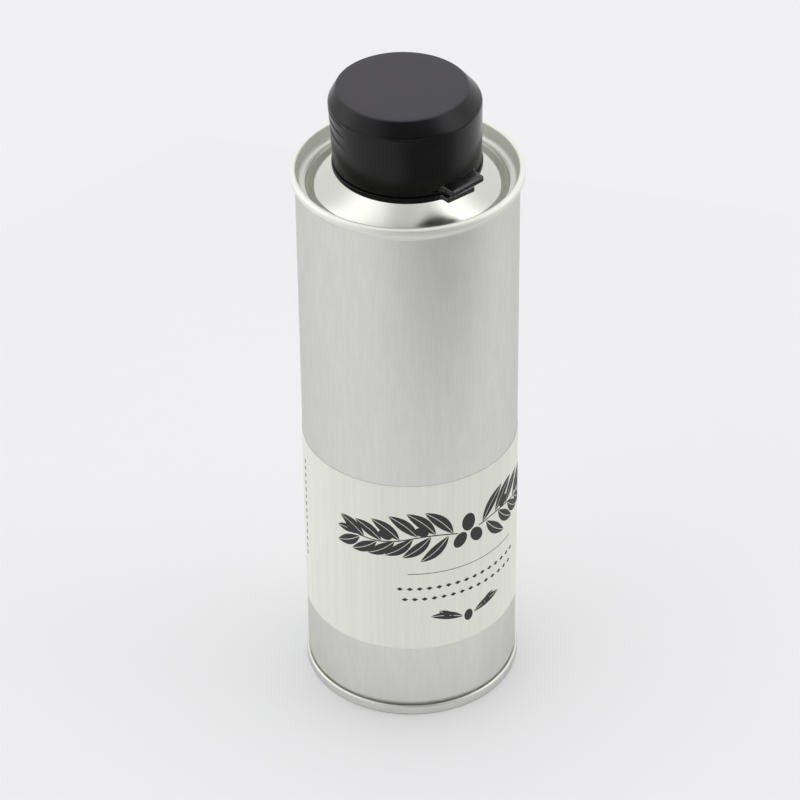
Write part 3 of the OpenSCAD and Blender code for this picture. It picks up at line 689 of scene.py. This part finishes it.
def plate(name, plan, low, high, edge, body, material, rise=None, turn=0.0):
    """Plate of a given plan with rounded rims: rings of the plan drawn in by edge*(1-cos t) and
    raised by edge*sin t, closed by a fan. rise(y) is added to its upper half."""
    nxt, prv = np.roll(plan, -1, axis=0), np.roll(plan, 1, axis=0)
    along = nxt - prv
    along /= np.linalg.norm(along, axis=1)[:, None]
    inward = np.column_stack([-along[:, 1], along[:, 0]])
    t = np.radians(np.linspace(0, 90, 7))
    steps = [(edge * (1 - math.sin(v)), low + edge * (1 - math.cos(v))) for v in t]
    steps += [(edge * (1 - math.cos(v)), high - edge + edge * math.sin(v)) for v in t]
    rings = []
    for draw, z in steps:
        xy = plan + inward * draw
        h = np.full(len(plan), z)
        if rise is not None:
            share = (z - low) / (high - low)
            h = h + rise(xy[:, 1]) * share
        rings.append(np.column_stack([xy, h]))
    pts = np.array(rings)
    n = len(plan)
    faces = grid_faces(len(rings), n, False, True)
    centre = np.array([pts[0].mean(axis=0), pts[-1].mean(axis=0)])
    centre[:, :2] = [0, plan[:, 1].min() / 2 + plan[:, 1].max() / 2]
    if rise is not None:
        centre[1, 2] = high + rise(centre[1:, 1])[0]
    base = len(rings) * n
    faces += [[(k + 1) % n, k, base] for k in range(n)]
    last = (len(rings) - 1) * n
    faces += [[last + k, last + (k + 1) % n, base + 1] for k in range(n)]
    verts = np.vstack([pts.reshape(-1, 3), centre])
    c, s = math.cos(math.radians(turn)), math.sin(math.radians(turn))
    verts[:, :2] = verts[:, :2] @ np.array([[c, s], [-s, c]])
    return mesh_object(name, verts, faces, body, "black_polypropylene", material, sharp=45)


def make_tab():
    """Thumb tab with a thick rounded nose over a thin lip, both moulded on the lid."""
    plate("tab_lip", tongue(4.7, 19.1, 2.0, FOOT_R), LID_Z, LID_Z + 0.6, 0.12, "lid", BLACK)
    slope = 0.4 / (TAB_REACH - FOOT_R + 2)
    plate("thumb_tab", tongue(TAB_HALF, TAB_REACH, 2.0, FOOT_R, nose_r=0.45, root=0.9), LID_Z + 0.05, TAB_Z + 0.74, 0.5, "lid", GLOSS,
          rise=lambda y: slope * (y + TAB_REACH))


def hinge_land(name, body, z0, z1):
    """Small block that carries the film hinge, with its edges rounded."""
    half, inner = 7.4, (2 * FOOT_R - LID_T) / 2
    plan = rounded([(-half, inner, 0), (half, inner, 0), (half, HINGE_Y - 0.05, 0.25),
                    (-half, HINGE_Y - 0.05, 0.25)], closed=True)
    n = len(plan)
    verts = np.vstack([np.column_stack([plan, np.full(n, z)]) for z in (z0, z1)])
    faces = grid_faces(2, n, False, True) + [list(range(n))[::-1], list(range(n, 2 * n))]
    return mesh_object(name, verts, faces, body, "black_polypropylene", BLACK)


def make_collar():
    """Collar: flange, drafted sleeve with its lid ridge, deck with the pourer's hole, snap bead."""
    snap_z = CURL_Z - CURL_R - SHEET / 2 - 0.12
    seat = FLANGE_Z + (FLANGE_R - SLEEVE_IN) * CONE_SLOPE
    ridge_z = PART_Z + 1.3
    ridge_r = SLEEVE_R - 0.4 * 1.3 / (DECK_Z - PART_Z)
    outline = rounded([
        (FLANGE_R, FLANGE_Z, 0.15), (FLANGE_R, PART_Z, 0.15), (SLEEVE_R, PART_Z, 0),
        (ridge_r, ridge_z - 0.35, 0.1), (ridge_r + 0.12, ridge_z, 0.3), (ridge_r, ridge_z + 0.35, 0.1),
        (SLEEVE_R - 0.4, DECK_Z, 1.3), (HOLE_R, DECK_Z, 0.15), (HOLE_R, DECK_LOW, 0.1),
        (SLEEVE_IN, DECK_LOW, 0.2), (SLEEVE_IN, snap_z, 0), (SLEEVE_IN - 0.8, snap_z - 0.6, 0.2),
        (SLEEVE_IN, snap_z - 1.2, 0), (SLEEVE_IN, seat, 0)], closed=True)
    collar = revolve("collar_shell", outline, "tin", "black_polypropylene", BLACK, columns=240)
    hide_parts("closure_base")
    plate("finger_ledge", tongue(3.95, 19.3, 1.0, FLANGE_R), FLANGE_Z - 0.1, PART_Z, 0.2, "tin", SHARP_GLOSS, turn=-4.7)
    hinge_land("collar_land", "tin", FLANGE_Z + 0.35, PART_Z)
    hinge_land("lid_land", "lid", LID_Z, LID_Z + 3)


def make_hinge():
    """Two thin films that cross the hinge axis."""
    z = np.linspace(HINGE_Z - 0.9, HINGE_Z + 0.9, 25)
    thin = 0.11 + 0.12 * np.clip(np.abs(z - HINGE_Z) / 0.9, 0, 1) ** 2
    films = []
    for side in (-1, 1):
        x0, x1 = side * 1.8, side * 6.4
        x = np.linspace(min(x0, x1), max(x0, x1), 9)
        out = np.concatenate([thin, -thin[::-1]]) + HINGE_Y - 0.02
        zz = np.concatenate([z, z[::-1]])
        pts = np.stack([np.broadcast_arrays(x[:, None], out[None], zz[None])[k] for k in range(3)], axis=-1)
        cols = len(out)
        faces = grid_faces(len(x), cols, False, True)
        faces += [list(range(cols)), [(len(x) - 1) * cols + k for k in range(cols)][::-1]]
        name = "hinge_film_left" if side < 0 else "hinge_film_right"
        films.append(mesh_object(name, pts.reshape(-1, 3), faces, None, "black_polypropylene", BLACK))
    for film in films:
        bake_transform(film)
    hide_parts("hinge_web")


def make_pourer():
    """Pourer clamped under the deck, and the tear-out seal with its ring in the throat."""
    plug_r, rim_r = NECK_IN_R - 0.1, NECK_IN_R + 1.5
    foot = RIM_Z + 0.6
    low = NECK_TOP - 4.2
    outline = rounded([
        (plug_r, low, 0.3), (plug_r, RIM_Z, 0.1), (rim_r, RIM_Z, 0.1), (rim_r, foot, 0.2), (8.9, foot, 0.4),
        (7.2, THROAT_Z, 1.8), (9.0, SPOUT_Z - 0.3, 0.14), (8.7, SPOUT_Z, 0.12), (8.2, SPOUT_Z, 0.2),
        (6.2, THROAT_Z, 1.0), (7.3, WEB_Z, 0.15), (plug_r - 0.8, WEB_Z, 0.3), (plug_r - 0.8, low, 0.3)], closed=True)
    spout = revolve("pour_lip", outline, "tin", "natural_polyethylene", NATURAL, columns=192)
    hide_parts("pour_spout")

    disc = rounded([(0, WEB_Z, 0), (7.18, WEB_Z, 0), (7.06, WEB_Z + 0.5, 0.15), (5.6, WEB_Z + 0.5, 0.5),
                    (5.3, WEB_Z + 0.4, 0.5), (0, WEB_Z + 0.4, 0)])
    seal = revolve("seal_disc", disc, "tin", "natural_polyethylene", NATURAL, columns=128)
    ring_r, wire = 4.2, 0.65
    ring_z = WEB_Z + 4.9
    u = np.radians(np.arange(96) * 3.75)[:, None]
    v = np.radians(np.arange(24) * 15.0)[None]
    tube = ring_r + wire * np.cos(v)
    torus = np.stack(np.broadcast_arrays(tube * np.cos(u), tube * np.sin(u), ring_z + 0.9 * wire * np.sin(v)), axis=-1)
    mesh_object("pull_ring", torus.reshape(-1, 3), grid_faces(96, 24, True, True), "tin",
                "natural_polyethylene", NATURAL)
    h = np.linspace(0, 1, 13)[:, None]
    w = wire * (0.72 + 0.5 * (1 - h) ** 4 + 0.2 * h ** 6)
    leg = np.stack(np.broadcast_arrays(w * np.cos(v), ring_r + w * np.sin(v), WEB_Z + 0.3 + (ring_z - WEB_Z - 0.3) * h),
                   axis=-1)
    faces = grid_faces(13, 24, False, True) + [list(range(24))[::-1], [12 * 24 + k for k in range(24)]]
    mesh_object("ring_leg", leg.reshape(-1, 3), faces, "tin", "natural_polyethylene", NATURAL)
    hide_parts("pull_seal")


make_body()
make_bottom_end()
make_top_end()
make_label()
make_print()
make_lid()
make_tab()
make_collar()
make_hinge()
make_pourer()
for part_name in ("thumb_tab", "tab_lip", "finger_ledge"):
    bpy.data.objects[part_name].visible_glossy = False  # no mirror image of the tab on the cone
for node_name in ("bottom_seam_compound", "top_seam_compound"):
    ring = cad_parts[node_name]
    ring.data.materials.clear()
    ring.data.materials.append(COMPOUND)

# Camera, fitted to the photograph: it stands 44 degrees to the side of the thumb tab
FOCAL_PX = 3608.99
IMAGE_PX = 800
CAMERA_TURN = math.radians(-44)
CAMERA_BACK, CAMERA_UP = 701.43, 588.54
PITCH_A, YAW_A, ROLL_A = 0.6301, -0.0033, -0.0115


def make_camera():
    """Camera whose axes come from its pitch, yaw and roll, turned about Z with its place."""
    forward = Vector((math.sin(YAW_A) * math.cos(PITCH_A), math.cos(YAW_A) * math.cos(PITCH_A), -math.sin(PITCH_A)))
    level = Vector((math.cos(YAW_A), -math.sin(YAW_A), 0))
    above = level.cross(forward)
    right = level * math.cos(ROLL_A) + above * math.sin(ROLL_A)
    up = above * math.cos(ROLL_A) - level * math.sin(ROLL_A)
    data = bpy.data.cameras.new("camera")
    data.sensor_width = 36.0
    data.lens = FOCAL_PX / IMAGE_PX * data.sensor_width
    camera = bpy.data.objects.new("camera", data)
    place = Matrix((
        (right.x, up.x, -forward.x, 0), (right.y, up.y, -forward.y, -CAMERA_BACK * MM),
        (right.z, up.z, -forward.z, CAMERA_UP * MM), (0, 0, 0, 1)))
    camera.matrix_world = Matrix.Rotation(CAMERA_TURN, 4, "Z") @ place
    bpy.context.scene.collection.objects.link(camera)
    bpy.context.scene.camera = camera


def aim(azimuth, elevation, distance, roll):
    """Place and turn of a lamp or card that faces the tin's top, seen from there at an azimuth and
    elevation in degrees; azimuth 0 is to the camera's right and 90 straight behind the tin."""
    a, e = math.radians(azimuth) + CAMERA_TURN, math.radians(elevation)
    away = Vector((math.cos(a) * math.cos(e), math.sin(a) * math.cos(e), math.sin(e)))
    turn = away.to_track_quat("Z", "Y") @ Quaternion((0, 0, 1), math.radians(roll))
    return away * distance + Vector((0, 0, TIN_H * MM)), turn


def softbox(name, azimuth, elevation, distance, size, radiance, roll=0, glossy=True, diffuse=True):
    """Area light that faces the tin's top."""
    light = bpy.data.lights.new(name, "AREA")
    light.shape = "RECTANGLE"
    light.size, light.size_y = size
    light.energy = radiance * math.pi * size[0] * size[1]
    obj = bpy.data.objects.new(name, light)
    obj.rotation_mode = "QUATERNION"
    obj.location, obj.rotation_quaternion = aim(azimuth, elevation, distance, roll)
    obj.visible_camera = False
    obj.visible_glossy = glossy
    obj.visible_diffuse = diffuse
    bpy.context.scene.collection.objects.link(obj)


def toward(azimuth, elevation):
    """Direction at an azimuth and elevation in degrees."""
    a, e = math.radians(azimuth), math.radians(elevation)
    return Vector((math.cos(a) * math.cos(e), math.sin(a) * math.cos(e), math.sin(e)))


def math_node(tree, operation, *values):
    """Result of a math node with the given values or sockets."""
    return add(tree, "ShaderNodeMath", dict(enumerate(values)), operation=operation).outputs[0]


def along(tree, direction, axis):
    """Part of the direction that lies along an axis."""
    return add(tree, "ShaderNodeVectorMath", {0: direction, 1: tuple(axis)}, operation="DOT_PRODUCT").outputs["Value"]


def soft_oval(tree, direction, azimuth, elevation, half, roll, power=1.0):
    """Oval glow round a direction in the camera's frame: exp(-(x^2/a^2 + y^2/b^2)^power), where x and
    y are the tangents of the angles across and up from its middle and half is (a, b)."""
    away = toward(azimuth, elevation)
    turn = away.to_track_quat("Z", "Y") @ Quaternion((0, 0, 1), math.radians(roll))
    ahead = along(tree, direction, away)
    squares = []
    for axis, size in ((turn @ Vector((1, 0, 0)), half[0]), (turn @ Vector((0, 1, 0)), half[1])):
        tangent = math_node(tree, "DIVIDE", along(tree, direction, axis), math_node(tree, "MAXIMUM", ahead, 0.001))
        squares.append(math_node(tree, "POWER", math_node(tree, "ABSOLUTE", math_node(tree, "DIVIDE", tangent, size)), 2.0))
    reach = math_node(tree, "POWER", math_node(tree, "ADD", *squares), power)
    oval = math_node(tree, "POWER", math.e, math_node(tree, "MULTIPLY", reach, -1.0))
    return math_node(tree, "MULTIPLY", oval, math_node(tree, "GREATER_THAN", ahead, 0.0))


def dark_patch(tree, direction, azimuth, elevation, inner, outer, dark):
    """Factor that falls from 1 to dark round a direction in the camera's frame: it is dark up to
    inner degrees from there and 1 beyond outer degrees."""
    angle = math_node(tree, "ARCCOSINE", along(tree, direction, toward(azimuth, elevation)))
    inputs = {"Value": angle, "From Min": math.radians(inner), "From Max": math.radians(outer), "To Min": dark}
    return add(tree, "ShaderNodeMapRange", inputs, interpolation_type="SMOOTHSTEP").outputs["Result"]


TENT_GLOW = 1.09


def make_stage():
    """White paper floor that ends in front of the tin, two softboxes beside it and a white tent with
    an opening for the camera, where the room is dark, and a gap between its panels overhead."""
    mat, tree, shader, coords = new_material("white_paper_floor")
    set_inputs(tree, shader, Base_Color=linear("#e8e8ea"), Roughness=0.9)
    shader.inputs["Specular IOR Level"].default_value = 0.1
    side, front = 3.0, -0.2
    turn = Matrix.Rotation(CAMERA_TURN + math.radians(35), 3, "Z")
    corners = [turn @ Vector(c) for c in ((-side, front, 0), (side, front, 0), (side, side, 0), (-side, side, 0))]
    mesh = bpy.data.meshes.new("floor")
    mesh.from_pydata(corners, [], [(0, 1, 2, 3)])
    mesh.materials.append(mat)
    floor = bpy.data.objects.new("floor", mesh)
    bpy.context.scene.collection.objects.link(floor)
    softbox("front_fill", -75, 54, 1.8, (3.4, 3.4), 0.5, glossy=False)
    world = bpy.data.worlds.new("studio")
    bpy.context.scene.world = world
    world.use_nodes = True
    tree = world.node_tree
    direction = add(tree, "ShaderNodeTexCoord").outputs["Generated"]
    turned_to = add(tree, "ShaderNodeMapping", {"Vector": direction, "Rotation": (0, 0, -CAMERA_TURN)}).outputs["Vector"]
    left_room = dark_patch(tree, turned_to, -95, 38, 16, 44, 0.23)
    right_room = dark_patch(tree, turned_to, -52, 34, 20, 36, 0.23)
    ceiling = dark_patch(tree, turned_to, -85, 80, 8, 22, 0.79)
    height = add(tree, "ShaderNodeSeparateXYZ", {"Vector": turned_to}).outputs["Z"]
    glow = spread(tree, height, 0.28 * TENT_GLOW, TENT_GLOW, -0.1, 0.0)
    for patch in (left_room, right_room, ceiling):
        glow = add(tree, "ShaderNodeMath", {0: glow, 1: patch}, operation="MULTIPLY").outputs[0]
    left_strip = soft_oval(tree, turned_to, 171.7, 27.4, (0.214, 1.2), -5.8)
    right_strip = soft_oval(tree, turned_to, -4.1, 37.2, (0.26, 1.6), -9.1)
    tent_gap = soft_oval(tree, turned_to, -27.0, 66.8, (0.078, 0.29), 48.9, power=3.0)
    mirrored = math_node(tree, "SUBTRACT", 1.0, add(tree, "ShaderNodeLightPath").outputs["Is Diffuse Ray"])
    strips = math_node(tree, "ADD", math_node(tree, "MULTIPLY", left_strip, 0.88), math_node(tree, "MULTIPLY", right_strip, 0.91))
    glow = math_node(tree, "ADD", glow, math_node(tree, "MULTIPLY", strips, mirrored))
    shade = math_node(tree, "MULTIPLY", math_node(tree, "MULTIPLY", tent_gap, mirrored), 0.96)
    glow = math_node(tree, "MULTIPLY", glow, math_node(tree, "SUBTRACT", 1.0, shade))
    background = tree.nodes["Background"]
    background.inputs["Color"].default_value = (1.0, 1.0, 1.0, 1.0)
    tree.links.new(glow, background.inputs["Strength"])


make_camera()
make_stage()
bpy.context.scene.view_settings.view_transform = "Standard"
